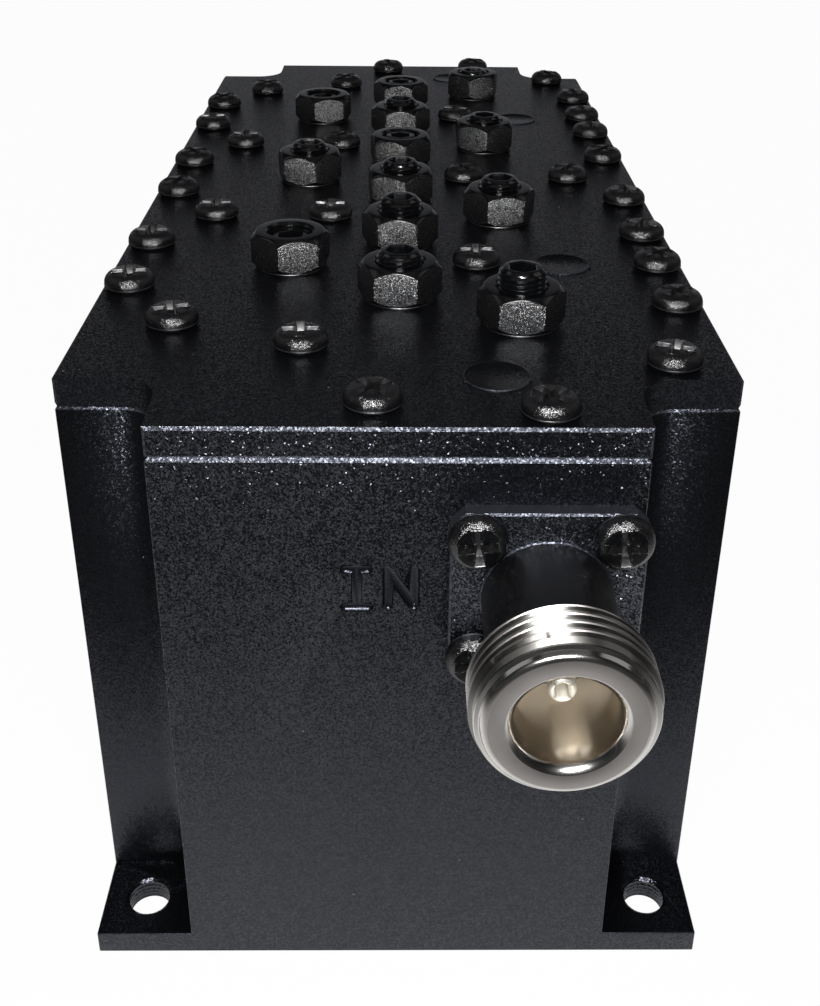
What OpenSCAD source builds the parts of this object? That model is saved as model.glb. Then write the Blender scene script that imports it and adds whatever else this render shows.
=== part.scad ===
// Coaxial cavity band-pass filter: a milled housing with seven resonator posts in a zigzag,
// a screwed lid that carries the tuning screws, and a threaded coaxial socket on each end.
// The input end faces -Y, the lid faces +Z, and the origin is the middle of the base.

/* [Housing] */
// Width of the housing and the lid
body_w = 63.5; // [60:0.5:75]
// Length of the housing and the lid
body_l = 143; // [125:0.5:170]
// Height of the housing without its lid
housing_h = 60.5; // [58:0.5:75]
// Thickness of the cavity floor
floor_t = 6; // [5.5:0.5:9]
// Thickness of the long side walls
side_wall_t = 5.85; // [5:0.05:8]
// Thickness of the end walls that carry the connectors
end_wall_t = 9.2; // [8.5:0.1:10]
// Thickness of the walls between neighbouring cavities
divider_t = 5; // [4:0.5:7]
// Corner radius of the milled cavities
pocket_r = 5; // [2:0.5:6]
// Width of the notch that frees each foot
notch_w = 9.95; // [8:0.05:10.5]
// Length of that notch, along the housing
notch_l = 9.65; // [8:0.05:10.5]
// Radius of the inner corner of a notch
notch_r = 4; // [1:0.5:6]
// Wall kept between a notch and a cavity
notch_wall_t = 3; // [2:0.5:4]
// Thickness of the feet
foot_t = 2.65; // [2:0.05:5]
// Diameter of the hole in each foot
foot_hole_d = 4.3; // [3:0.1:5.5]
// Distance of a foot hole from the side of the housing
foot_hole_side = 4.65; // [3.5:0.05:5.5]
// Distance of a foot hole from the end of the housing
foot_hole_end = 5; // [3.5:0.05:5.5]

/* [Lid] */
// Thickness of the lid
lid_t = 3; // [2:0.5:5]
// Diameter of the plugs pressed into the lid
plug_d = 6.2; // [4:0.1:7]
// Thickness of those plugs
plug_t = 1.5; // [0.8:0.1:1.8]
// Distance of the end plugs from the end of the lid
plug_end = 10.2; // [9:0.1:12]
// Distance of the end plugs from the middle line
plug_x = 9; // [6:0.1:10]

/* [Resonators] */
// How far each cavity reaches past the middle line, which opens the windows between them
pocket_overlap = 1.5; // [0.5:0.1:2.5]
// Outer diameter of a resonator post
pole_d = 10; // [9:0.1:12]
// Inner diameter of a resonator post
pole_bore_d = 7; // [6.5:0.1:7.6]
// Height of a resonator post
pole_h = 46; // [40:0.5:50]
// Thickness of the closed foot of a post
pole_base_t = 4; // [3:0.5:6]

/* [Tuning] */
// Thread diameter of the tuning screws
tune_d = 5; // [4:0.1:5.5]
// Length of the resonator tuning screws
tune_l = 20; // [16:0.5:26]
// Length of the coupling tuning screws
coupling_l = 24; // [16:0.5:30]
// How much wider the coupling screws are spaced than the resonators
coupling_spread = 0.47; // [0:0.01:1]
// Width of the lock nuts across their flats
nut_af = 7.8; // [7.5:0.1:8.2]
// Height of the lock nuts
nut_h = 4; // [2.5:0.1:5]
// Depth of the chamfer at the mouth of a lock nut
nut_mouth = 0.45; // [0.3:0.05:0.7]
// Width of the hexagon sockets across their flats
socket_af = 2.5; // [1.5:0.1:3]
// Depth of those sockets
socket_depth = 2.5; // [1.5:0.1:4]

/* [Fasteners] */
// Thread diameter of the lid screws and the post screws
screw_d = 3; // [2.5:0.1:3.4]
// Length of the lid screws below the head
lid_screw_l = 8; // [6:0.5:12]
// Diameter of the pan heads
pan_d = 5.4; // [5:0.1:5.8]
// Height of the pan heads
pan_h = 1.9; // [1.7:0.1:2.4]
// Height at which the rounded shoulder of a pan head starts
pan_edge_h = 0.9; // [0.5:0.1:1.2]
// Width of the cross recess blades
cross_w = 0.8; // [0.5:0.1:1]
// Span of the cross recess
cross_span = 3.2; // [2.4:0.1:3.6]
// Depth of the cross recess
cross_depth = 1.4; // [1:0.1:1.6]
// Diameter of the post screw heads
cap_d = 5.5; // [5:0.1:5.8]
// Height of the post screw heads
cap_h = 3; // [2.6:0.1:4]
// Length of the post screws below the head
post_screw_l = 8; // [6.5:0.5:8.5]
// Length of the flange screws below the head
flange_screw_l = 7; // [5:0.5:8]

/* [Connectors] */
// Distance of the connector axis from the edge of the end face
conn_edge = 8.55; // [8.5:0.05:11]
// Depth of the connector axis below the top of the housing
conn_drop = 13.2; // [12:0.1:18]
// Width of the square flange
flange_w = 17.4; // [17:0.1:19]
// Size of the clipped flange corners
flange_clip = 2.6; // [1:0.1:3]
// Thickness of the flange
flange_t = 1.6; // [1.2:0.1:3]
// Spacing of the flange screws
flange_span = 12.7; // [12.4:0.1:13.2]
// Diameter of the neck between flange and thread
neck_d = 11.8; // [11:0.1:12]
// Outer diameter of the coupling thread
thread_d = 15.88; // [15:0.02:17]
// Distance from the end face to the start of the coupling thread
thread_start = 12.6; // [11:0.1:13.5]
// Length of the coupling thread, up to its front bevel
thread_l = 4.2; // [3.5:0.1:6]
// Length of the front bevel
bevel_l = 1.6; // [1:0.1:2.5]
// Diameter of the flat front face
face_d = 12.8; // [11.5:0.1:13.5]
// Diameter of the socket
socket_d = 8.7; // [8:0.1:9.6]
// Size of the chamfer at the mouth of the socket
mouth_chamfer = 0.6; // [0.3:0.1:1]
// Distance from the end face to the floor of the socket
socket_floor = 8; // [6:0.5:10]
// Distance from the end face to the back of the wide socket bore
socket_back = 3; // [2:0.5:4]
// Diameter of the insulator where it passes through the wall
passage_d = 6.2; // [4:0.1:7]
// Diameter of the centre contact at its open end
contact_d = 2.4; // [2.2:0.1:3]
// Bore of the centre contact
contact_bore_d = 1.6; // [1.4:0.1:1.8]
// Depth of that bore
contact_bore_l = 5; // [3:0.5:6]
// Distance from the end face to the tip of the centre contact
contact_tip = 14.2; // [13:0.1:15]
// Diameter of the rod behind the centre contact
rod_d = 1.6; // [1.3:0.1:2]
// Diameter of the coupling disc on the end of the rod
disc_d = 7; // [4:0.1:9]
// Thickness of the coupling disc
disc_t = 1; // [0.6:0.1:1.5]
// Gap between the coupling disc and the nearest resonator
disc_gap = 1.5; // [0.8:0.1:2.5]

/* [Fits] */
// Radial clearance of a tuning screw in its thread
thread_clear = 0.04; // [0.02:0.01:0.08]
// Radial clearance of the other fitted pieces
fit_clear = 0.05; // [0.02:0.01:0.1]
// Radial clearance of the screw holes in the lid and the flanges
hole_clear = 0.2; // [0.1:0.05:0.4]

/* [Hidden] */
$fn = 64;
eps = 0.5;

// Heights of the main faces
lid_z = housing_h + lid_t;
nut_top_z = lid_z + nut_h;

// Cavity layout: seven resonators fill the length between the end walls
pole_pitch = (body_l / 2 + divider_t / 2 - end_wall_t) / 4;
coupling_pitch = pole_pitch + coupling_spread;
pole_x = (body_w / 2 - side_wall_t - pocket_overlap) / 2;
pocket_w = 2 * (pole_x + pocket_overlap);
pocket_l = 2 * pole_pitch - divider_t;
end_pole_y = 3 * pole_pitch;

// Resonators in signal order, from the input end
poles = [for (i = [0:6]) [i % 2 == 0 ? pole_x : -pole_x, (i - 3) * pole_pitch]];
couplings = [for (i = [0:5]) [0, (i - 2.5) * coupling_pitch]];

// How far each tuning screw stands above its lock nut, below it where negative
pole_stand = [1.9, -0.6, 1.2, 1.0, 0.8, -0.4, 0.3];
coupling_stand = [1.1, 1.5, 1.0, -0.2, 1.0, -0.2];

// How far each lock nut is turned from a flat that faces the input end
pole_nut_turn = [-3, 17, 9, -17, -28, 16, 21];
coupling_nut_turn = [-6, -4, -23, -22, 0, -6];

// Lid screws: along the side rails, in resonator spacings, on the dividing walls and at both ends
rail_x = body_w / 2 - side_wall_t / 2;
rail_right_y = pole_pitch * [0.593, 1.414, 2.037, 2.741];
rail_left_y = pole_pitch * [0.423, 1.63, 2.444];
wall_screw_in = pole_x - 3.6;
wall_screw_out = pole_x + 10.5;
half_lid_screws = concat(
    [for (y = rail_right_y) [rail_x, y]],
    [for (y = rail_left_y) [-rail_x, y]],
    [[-wall_screw_in, pole_pitch], [-wall_screw_out, pole_pitch], [wall_screw_in, 2 * pole_pitch]],
    [[-2.3, body_l / 2 - 4.6], [13.2, body_l / 2 - 3.1]],
    [[body_w / 2 - 5.9, body_l / 2 - notch_l - notch_wall_t - 0.35]],
    [[-9.5, body_l / 2 - 16.8], [-wall_screw_out, body_l / 2 - 22]]
);
lid_screws_xy = concat(
    [[wall_screw_in, 0], [wall_screw_out, 0]],
    half_lid_screws,
    [for (p = half_lid_screws) [p[0], -p[1]]]
);
boss_r = screw_d / 2 + 1.8;
lid_thread_depth = lid_screw_l - lid_t + 1;
plugs_xy = [for (side = [-1, 1], p = [[plug_x, body_l / 2 - plug_end], [pole_x + 6, 2 * pole_pitch]])
    [p[0], side * p[1]]];

// Connector layout
conn_x = body_w / 2 - notch_w - conn_edge;
conn_z = housing_h - conn_drop;
thread_end = thread_start + thread_l;
face_y = thread_end + bevel_l;
rod_end = -(body_l / 2 - end_pole_y - pole_d / 2 - disc_gap);
flange_thread_depth = flange_screw_l - flange_t + 0.6;

// Repeats a shape in all four corners of the plan
module at_corners() {
    children();
    mirror([1, 0, 0]) children();
    mirror([0, 1, 0]) children();
    mirror([1, 0, 0]) mirror([0, 1, 0]) children();
}

// Puts a shape that points outwards along +Z onto the input end face
module at_input() {
    translate([conn_x, -body_l / 2, conn_z]) rotate([90, 0, 0]) children();
}

// The same for the output end face
module at_output() {
    mirror([0, 1, 0]) at_input() children();
}

module rounded_rect(w, l, r) {
    square([w - 2 * r, l], center = true);
    square([w, l - 2 * r], center = true);
    for (x = [-1, 1], y = [-1, 1]) translate([x * (w / 2 - r), y * (l / 2 - r)]) circle(r);
}

// Plan of one corner notch, with a round inner corner
module notch_plan() {
    translate([body_w / 2 - notch_w, body_l / 2 - notch_l]) {
        translate([notch_r, 0]) square([notch_w, notch_l + eps]);
        translate([0, notch_r]) square([notch_w + eps, notch_l]);
        translate([notch_r, notch_r]) circle(notch_r);
    }
}

module body_plan() {
    difference() {
        square([body_w, body_l], center = true);
        at_corners() notch_plan();
    }
}

// Plan of the cavities, trimmed round the lid screws and behind the notches
module pocket_plan() {
    difference() {
        for (p = poles) translate(p) rounded_rect(pocket_w, pocket_l, pocket_r);
        for (p = lid_screws_xy) translate(p) circle(boss_r);
        at_corners() translate([
            body_w / 2 - notch_w - notch_wall_t,
            body_l / 2 - notch_l - notch_wall_t
        ]) square(notch_w + notch_wall_t);
    }
}

module housing() {
    color("#17181a") difference() {
        union() {
            linear_extrude(housing_h) body_plan();
            linear_extrude(foot_t) square([body_w, body_l], center = true);
        }
        translate([0, 0, floor_t]) linear_extrude(housing_h) pocket_plan();
        for (p = lid_screws_xy) translate([p[0], p[1], housing_h - lid_thread_depth])
            cylinder(h = lid_thread_depth + eps, r = screw_d / 2 + fit_clear);
        for (p = poles) translate([p[0], p[1], floor_t - post_thread_depth()])
            cylinder(h = post_thread_depth() + eps, r = screw_d / 2 + fit_clear);
        at_corners() translate([body_w / 2 - foot_hole_side, body_l / 2 - foot_hole_end, -eps])
            cylinder(h = foot_t + 2 * eps, d = foot_hole_d);
        at_input() end_wall_holes();
        at_output() end_wall_holes();
    }
}

function post_thread_depth() = post_screw_l - pole_base_t + 0.6;

// Passage for the insulator and the four tapped holes of a flange
module end_wall_holes() {
    translate([0, 0, -end_wall_t - eps]) cylinder(h = end_wall_t + 2 * eps, d = passage_d);
    flange_corners() translate([0, 0, -flange_thread_depth])
        cylinder(h = flange_thread_depth + eps, r = screw_d / 2 + fit_clear);
}

module flange_corners() {
    for (x = [-1, 1], y = [-1, 1])
        translate([x * flange_span / 2, y * flange_span / 2, 0]) children();
}

module lid() {
    color("#1b1c1f") difference() {
        translate([0, 0, housing_h]) linear_extrude(lid_t) difference() {
            body_plan();
            for (p = lid_screws_xy) translate(p) circle(screw_d / 2 + hole_clear);
            for (p = concat(poles, couplings)) translate(p) circle(tune_d / 2);
        }
        for (p = plugs_xy) translate([p[0], p[1], lid_z - plug_t])
            cylinder(h = plug_t + eps, r = plug_d / 2 + fit_clear);
    }
}

module lid_plugs() {
    color("#1b1c1f") for (p = plugs_xy) translate([p[0], p[1], lid_z - plug_t])
        cylinder(h = plug_t, d = plug_d);
}

// Pan head screw with a cross recess, its head seated on z = 0
module pan_screw(shank_l) {
    r = pan_d / 2;
    shoulder = pan_h - pan_edge_h;
    difference() {
        union() {
            rotate_extrude() polygon([
                [0, 0],
                [r, 0],
                [r, pan_edge_h],
                [r - 0.134 * shoulder, pan_edge_h + 0.5 * shoulder],
                [r - 0.5 * shoulder, pan_edge_h + 0.866 * shoulder],
                [r - shoulder, pan_h],
                [0, pan_h]
            ]);
            translate([0, 0, -shank_l]) cylinder(h = shank_l + pan_edge_h, d = screw_d);
        }
        for (turn = [0, 90]) rotate([90, 0, turn]) translate([0, 0, -cross_w / 2])
            linear_extrude(cross_w) polygon([
                [-cross_span / 2, pan_h + eps],
                [-cross_w / 2, pan_h - cross_depth],
                [cross_w / 2, pan_h - cross_depth],
                [cross_span / 2, pan_h + eps]
            ]);
    }
}

module lid_screws() {
    color("#0d0d0e") for (p = lid_screws_xy) translate([p[0], p[1], lid_z])
        pan_screw(lid_screw_l);
}

module hex_prism(af, h) {
    cylinder(h = h, r = af / sqrt(3), $fn = 6);
}

// Resonator post: a tube with a closed foot that a screw holds to the floor
module resonator(i) {
    color("#c9ccd0") translate([poles[i][0], poles[i][1], floor_t]) difference() {
        cylinder(h = pole_h, d = pole_d);
        translate([0, 0, pole_base_t]) cylinder(h = pole_h, d = pole_bore_d);
        translate([0, 0, -eps]) cylinder(h = pole_base_t + 2 * eps, r = screw_d / 2 + hole_clear);
    }
}

module resonator_screws() {
    color("#9a9da1") for (p = poles) translate([p[0], p[1], floor_t + pole_base_t])
        difference() {
            union() {
                cylinder(h = cap_h, d = cap_d);
                translate([0, 0, -post_screw_l]) cylinder(h = post_screw_l + eps, d = screw_d);
            }
            translate([0, 0, cap_h - 1.5]) hex_prism(socket_af, cap_h);
        }
}

// Hexagon nut with its corners chamfered on both faces
module lock_nut(turn) {
    face_r = nut_af / 2 - 0.15;
    chamfer = 1;
    difference() {
        intersection() {
            rotate([0, 0, turn]) hex_prism(nut_af, nut_h);
            rotate_extrude() polygon([
                [0, 0],
                [face_r, 0],
                [face_r + chamfer, chamfer],
                [face_r + chamfer, nut_h - chamfer],
                [face_r, nut_h],
                [0, nut_h]
            ]);
        }
        translate([0, 0, -eps]) cylinder(h = nut_h + 2 * eps, d = tune_d);
        translate([0, 0, nut_h - nut_mouth])
            cylinder(h = 2 * nut_mouth, r1 = tune_d / 2 - 0.2, r2 = tune_d / 2 - 0.2 + 2 * nut_mouth);
    }
}

module resonator_lock_nuts() {
    color("#101011") for (i = [0:6]) translate([poles[i][0], poles[i][1], lid_z])
        lock_nut(pole_nut_turn[i]);
}

module coupling_lock_nuts() {
    color("#101011") for (i = [0:5]) translate([couplings[i][0], couplings[i][1], lid_z])
        lock_nut(coupling_nut_turn[i]);
}

// Headless tuning screw with a hexagon socket, its top at z = 0
module tuning_screw(l) {
    r = tune_d / 2 - thread_clear;
    top_cut = 0.5;
    difference() {
        rotate_extrude() polygon([
            [0, -l],
            [r - top_cut, -l],
            [r, top_cut - l],
            [r, -top_cut],
            [r - top_cut, 0],
            [0, 0]
        ]);
        translate([0, 0, -socket_depth]) hex_prism(socket_af, socket_depth + eps);
    }
}

module resonator_tuning_screw(i) {
    color("#101011") translate([poles[i][0], poles[i][1], nut_top_z + pole_stand[i]])
        tuning_screw(tune_l);
}

module coupling_tuning_screw(i) {
    color("#101011") translate([couplings[i][0], couplings[i][1], nut_top_z + coupling_stand[i]])
        tuning_screw(coupling_l);
}

module flange_plan() {
    half = flange_w / 2;
    low = half - flange_clip;
    difference() {
        polygon([
            [-low, -half], [low, -half], [half, -low], [half, low],
            [low, half], [-low, half], [-half, low], [-half, -low]
        ]);
        for (x = [-1, 1], y = [-1, 1]) translate([x, y] * flange_span / 2)
            circle(screw_d / 2 + hole_clear);
    }
}

// One turned and milled piece: flange, neck and threaded socket
module connector_body() {
    ring_r = thread_d / 2;
    face_r = face_d / 2;
    bore_r = socket_d / 2;
    color("#b9b7b2") difference() {
        union() {
            linear_extrude(flange_t) flange_plan();
            rotate_extrude() polygon([
                [0, 0],
                [neck_d / 2, 0],
                [neck_d / 2, thread_start],
                [ring_r - 0.4, thread_start],
                [ring_r, thread_start + 0.4],
                [ring_r, thread_end],
                [(ring_r + face_r) / 2, face_y - bevel_l * 0.22],
                [face_r, face_y],
                [0, face_y]
            ]);
        }
        translate([0, 0, -eps]) cylinder(h = face_y, d = passage_d);
        translate([0, 0, socket_back]) cylinder(h = face_y, d = socket_d);
        translate([0, 0, face_y - mouth_chamfer])
            cylinder(h = 2 * mouth_chamfer, r1 = bore_r, r2 = bore_r + 2 * mouth_chamfer);
    }
}

module insulator() {
    color("#ece9e1") difference() {
        union() {
            translate([0, 0, socket_back])
                cylinder(h = socket_floor - socket_back, r = socket_d / 2 - fit_clear);
            translate([0, 0, -end_wall_t])
                cylinder(h = end_wall_t + socket_back + eps, r = passage_d / 2 - fit_clear);
        }
        translate([0, 0, -end_wall_t - eps])
            cylinder(h = end_wall_t + socket_floor + 2 * eps, r = rod_d / 2 + fit_clear);
    }
}

// Centre contact: a slotted socket in front, a long rod behind
module contact() {
    color("#d8b45a") difference() {
        union() {
            translate([0, 0, rod_end]) cylinder(h = socket_floor - rod_end, d = rod_d);
            translate([0, 0, socket_floor])
                cylinder(h = contact_tip - socket_floor, d = contact_d);
        }
        translate([0, 0, contact_tip - contact_bore_l])
            cylinder(h = contact_bore_l + eps, d = contact_bore_d);
        for (turn = [0, 90]) rotate([0, 0, turn])
            translate([-contact_d, -0.15, contact_tip - contact_bore_l])
                cube([2 * contact_d, 0.3, contact_bore_l + eps]);
    }
}

// Disc that couples the contact to the nearest resonator across a gap
module coupling_disc() {
    hub_l = 2.5;
    color("#d8b45a") translate([0, 0, rod_end]) difference() {
        union() {
            cylinder(h = disc_t, d = disc_d);
            cylinder(h = disc_t + hub_l, d = rod_d + 1.4);
        }
        translate([0, 0, -eps]) cylinder(h = disc_t + hub_l + 2 * eps, r = rod_d / 2 + fit_clear);
    }
}

module flange_screws() {
    color("#0d0d0e") translate([0, 0, flange_t]) flange_corners() pan_screw(flange_screw_l);
}

housing();
lid();
lid_screws();
lid_plugs();
for (i = [0:6]) resonator(i);
resonator_screws();
resonator_lock_nuts();
coupling_lock_nuts();
for (i = [0:6])
    resonator_tuning_screw(i);
for (i = [0:5])
    coupling_tuning_screw(i);
at_input() connector_body();  // input_connector_body
at_input() insulator();  // input_insulator
at_input() contact();  // input_contact
at_input() coupling_disc();  // input_coupling_disc
at_input() flange_screws();  // input_flange_screws
at_output() connector_body();  // output_connector_body
at_output() insulator();  // output_insulator
at_output() contact();  // output_contact
at_output() coupling_disc();  // output_coupling_disc
at_output() flange_screws();  // output_flange_screws
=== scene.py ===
# Dressed model of a coaxial cavity band-pass filter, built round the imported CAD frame.
# Sizes are in millimetres in the builders and become metres when an object is made.
import math
import random

import bmesh
import bpy
from mathutils import Matrix, Vector


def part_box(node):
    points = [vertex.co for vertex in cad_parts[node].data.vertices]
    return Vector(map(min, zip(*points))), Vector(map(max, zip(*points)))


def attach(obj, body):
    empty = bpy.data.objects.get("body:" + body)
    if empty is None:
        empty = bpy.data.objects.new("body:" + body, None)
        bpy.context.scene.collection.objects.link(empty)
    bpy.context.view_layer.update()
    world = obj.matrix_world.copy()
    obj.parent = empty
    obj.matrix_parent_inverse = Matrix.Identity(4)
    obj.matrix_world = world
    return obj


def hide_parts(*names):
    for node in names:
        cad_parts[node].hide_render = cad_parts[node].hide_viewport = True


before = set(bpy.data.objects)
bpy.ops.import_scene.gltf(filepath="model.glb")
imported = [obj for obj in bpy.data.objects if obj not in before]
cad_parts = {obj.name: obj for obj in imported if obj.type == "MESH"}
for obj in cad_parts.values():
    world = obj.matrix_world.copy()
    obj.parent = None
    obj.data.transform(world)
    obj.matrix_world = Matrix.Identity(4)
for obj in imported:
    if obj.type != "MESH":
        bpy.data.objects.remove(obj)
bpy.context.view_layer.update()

MM = 0.001
ROOT = "filter_body"
WELD = 1e-4

# Sizes shared with the CAD source
BODY_W, BODY_L, HOUSING_H, LID_T = 63.5, 143.0, 60.5, 3.0
LID_Z = HOUSING_H + LID_T
NOTCH_W, NOTCH_L, NOTCH_R, FOOT_T = 9.95, 9.65, 4.0, 2.65
FOOT_HOLE_SIDE, FOOT_HOLE_END, FOOT_HOLE_R = 4.65, 5.0, 2.15
SIDE_WALL, POCKET_OVERLAP, POLE_PITCH, POLES = 5.85, 1.5, 16.2, 7
POLE_X = (BODY_W / 2 - SIDE_WALL - POCKET_OVERLAP) / 2
COUPLING_PITCH, COUPLINGS = 16.67, 6
TUNE_L, COUPLING_L, LID_SCREW_L, FLANGE_SCREW_L = 20.0, 24.0, 8.0, 7.0
NUT_AF, NUT_H, SOCKET_AF, SOCKET_DEPTH = 7.8, 4.0, 2.5, 2.5
PLUG_D, PLUG_T, PLUG_X, PLUG_END = 6.2, 1.5, 9.0, 10.2
CONN_EDGE, CONN_DROP = 8.55, 13.2
CONN_X, CONN_Z = BODY_W / 2 - NOTCH_W - CONN_EDGE, HOUSING_H - CONN_DROP
FLANGE_W, FLANGE_T, FLANGE_SPAN = 17.4, 1.6, 12.7
NECK_R, PASSAGE_R, SOCKET_BACK = 5.9, 3.1, 3.0
RING_R, RING_START, RING_FACE, BORE_R = 7.94, 12.6, 18.4, 4.35
CONTACT_R, CONTACT_ROD_R, CONTACT_TIP, SOCKET_FLOOR = 1.2, 0.8, 14.2, 8.0

# Clipped corner of a flange, as wide as it looks in the photograph
FLANGE_CLIP = 1.3

poles = [(POLE_X if i % 2 == 0 else -POLE_X, (i - 3) * POLE_PITCH) for i in range(POLES)]
couplings = [(0.0, (i - 2.5) * COUPLING_PITCH) for i in range(COUPLINGS)]

# Turns in degrees, read off the photograph; the heads of the other lid screws are turned at random
pole_nut_turn = [-3, 17, 9, -17, -28, 16, 21]
coupling_nut_turn = [-6, -4, -23, -22, 0, -6]
head_turn = {22: 0, 23: 8, 24: 0, 25: 0, 26: 2, 27: 40, 28: 44, 30: 3, 31: 18}


def lid_screw_places():
    """Centres of the 32 lid screws, in the order of the CAD source."""
    rail_x = BODY_W / 2 - SIDE_WALL / 2
    inner, outer = POLE_X - 3.6, POLE_X + 10.5
    half = [(rail_x, POLE_PITCH * s) for s in (0.593, 1.414, 2.037, 2.741)]
    half += [(-rail_x, POLE_PITCH * s) for s in (0.423, 1.63, 2.444)]
    half += [(-inner, POLE_PITCH), (-outer, POLE_PITCH), (inner, 2 * POLE_PITCH)]
    half += [(-2.3, BODY_L / 2 - 4.6), (13.2, BODY_L / 2 - 3.1)]
    half += [(BODY_W / 2 - 5.9, BODY_L / 2 - NOTCH_L - 3.35)]
    half += [(-9.5, BODY_L / 2 - 16.8), (-outer, BODY_L / 2 - 22)]
    return [(inner, 0.0), (outer, 0.0)] + half + [(x, -y) for x, y in half]


# Objects

def add_object(name, data):
    obj = bpy.data.objects.new(name, data)
    bpy.context.scene.collection.objects.link(obj)
    return obj


def loose_object(name, bm):
    """Turns a bmesh in millimetres into an object."""
    bmesh.ops.transform(bm, matrix=Matrix.Scale(MM, 4), verts=bm.verts)
    mesh = bpy.data.meshes.new(name)
    bm.to_mesh(mesh)
    bm.free()
    return add_object(name, mesh)


def shade(mesh, angle):
    """Smooth shading with sharp edges where faces turn by more than angle degrees."""
    mesh.shade_smooth()
    mesh.set_sharp_from_angle(angle=math.radians(angle))


def link(name, bm, mats, replaces, smooth=30, body=ROOT):
    """Turns a bmesh in millimetres into a piece that rides on a body."""
    obj = loose_object(name, bm)
    for mat in mats:
        obj.data.materials.append(mat)
    shade(obj.data, smooth)
    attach(obj, body)
    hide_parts(*replaces)
    return obj


def mesh_in_mm(mesh):
    bm = bmesh.new()
    bm.from_mesh(mesh)
    bmesh.ops.transform(bm, matrix=Matrix.Scale(1 / MM, 4), verts=bm.verts)
    return bm


def taken_back(obj):
    """Bmesh in millimetres of a loose object, which is removed."""
    bm = mesh_in_mm(obj.data)
    bpy.data.objects.remove(obj)
    return bm


def solid_difference(obj, cutter):
    """Cuts one object out of another for good and removes the cutter."""
    mod = obj.modifiers.new("cut", "BOOLEAN")
    mod.operation = "DIFFERENCE"
    mod.solver = "EXACT"
    mod.object = cutter
    graph = bpy.context.evaluated_depsgraph_get()
    mesh = bpy.data.meshes.new_from_object(obj.evaluated_get(graph))
    obj.modifiers.clear()
    old = obj.data
    obj.data = mesh
    bpy.data.meshes.remove(old)
    bpy.data.objects.remove(cutter)


# Meshes

def round_angles(n):
    return [2 * math.pi * j / n for j in range(n)]


def turned(profile, angles):
    """Rings of a turned shape from its (radius, height) points."""
    return [[(r, z)] * len(angles) for r, z in profile]


def skin(bm, rings, angles, mat=0):
    """Skin that closes round the axis; a ring is a list of (radius, height) per angle."""
    rows = []
    for ring in rings:
        rows.append([bm.verts.new((r * math.cos(a), r * math.sin(a), z))
                     for (r, z), a in zip(ring, angles)])
    n = len(angles)
    for low, high in zip(rows, rows[1:]):
        for j in range(n):
            k = (j + 1) % n
            face = bm.faces.new((low[j], low[k], high[k], high[j]))
            face.material_index = mat


def lathe(bm, profile, angles, mat=0):
    """Adds the skin of a turned shape to a bmesh."""
    skin(bm, turned(profile, angles), angles, mat)


def clean(bm):
    """Welds the seams of a built shape and turns its faces outwards."""
    bmesh.ops.remove_doubles(bm, verts=bm.verts, dist=WELD)
    bmesh.ops.dissolve_degenerate(bm, dist=WELD, edges=bm.edges)
    loose = [v for v in bm.verts if not v.link_faces]
    bmesh.ops.delete(bm, geom=loose, context="VERTS")
    bmesh.ops.recalc_face_normals(bm, faces=bm.faces)


def turned_solid(profile, cols):
    """Closed solid from the (radius, height) points of a profile that starts and ends at 0."""
    bm = bmesh.new()
    lathe(bm, profile, round_angles(cols))
    clean(bm)
    return bm


def helix(bm, pitch, low, high, form, cols, limit, mat=0):
    """Screw thread from low to high. form gives (share of the pitch, radius) round one turn,
    and limit(height, radius) trims it near the ends."""
    # The spare turns at both ends are flattened, so that every column is filled
    spare = 2
    rows = []
    for turn in range(int((high - low) / pitch) + 2 * spare + 1):
        for share, radius in form:
            base = low + (turn - spare + share) * pitch
            row = []
            for j in range(cols):
                a = 2 * math.pi * j / cols
                z = min(max(base + pitch * j / cols, low), high)
                r = limit(z, radius)
                row.append(bm.verts.new((r * math.cos(a), r * math.sin(a), z)))
            rows.append(row)
    step = len(form)
    for i in range(len(rows) - 1):
        for j in range(cols):
            if j < cols - 1:
                quad = (rows[i][j], rows[i][j + 1], rows[i + 1][j + 1], rows[i + 1][j])
            elif i + step + 1 < len(rows):
                quad = (rows[i][j], rows[i + step][0], rows[i + step + 1][0], rows[i + 1][j])
            else:
                continue
            face = bm.faces.new(quad)
            face.material_index = mat


def place(target, source, matrix):
    """Adds a copy of one bmesh to another, moved by a matrix."""
    mesh = bpy.data.meshes.new("part")
    source.to_mesh(mesh)
    mesh.transform(matrix)
    target.from_mesh(mesh)
    bpy.data.meshes.remove(mesh)


def merge(target, source):
    """Moves one bmesh into another as it is."""
    place(target, source, Matrix.Identity(4))
    source.free()


def hex_radius(af, angle):
    """Radius of a hexagon's outline at an angle, with a corner at angle 0."""
    return af / 2 / math.cos(angle % (math.pi / 3) - math.pi / 6)


def bevel(bm, edges, width, segments=1, mat=0):
    """Chamfer in one material, or a rounded edge where it has more segments."""
    bmesh.ops.bevel(bm, geom=edges, offset=width, offset_type="OFFSET", segments=segments,
                    profile=0.5, affect="EDGES", clamp_overlap=True, material=mat)


def soften(bm, width, angle, segments, only):
    """Bevels the edges that turn by more than angle degrees, where only(edge) is true."""
    picked = [e for e in bm.edges
              if len(e.link_faces) == 2 and e.calc_face_angle(0.0) > math.radians(angle)
              and only(e)]
    bevel(bm, picked, width, segments)


# Shader nodes, with texture scales per metre and bump heights in metres

def new_material(name):
    mat = bpy.data.materials.new(name)
    mat.use_nodes = True
    tree = mat.node_tree
    return mat, tree, tree.nodes["Principled BSDF"]


def node(tree, kind, **values):
    n = tree.nodes.new(kind)
    for key, value in values.items():
        setattr(n, key, value)
    return n


def feed(tree, socket, value):
    """Links a socket to another one, or sets it to a value."""
    if isinstance(value, bpy.types.NodeSocket):
        tree.links.new(value, socket)
    else:
        socket.default_value = value


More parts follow.
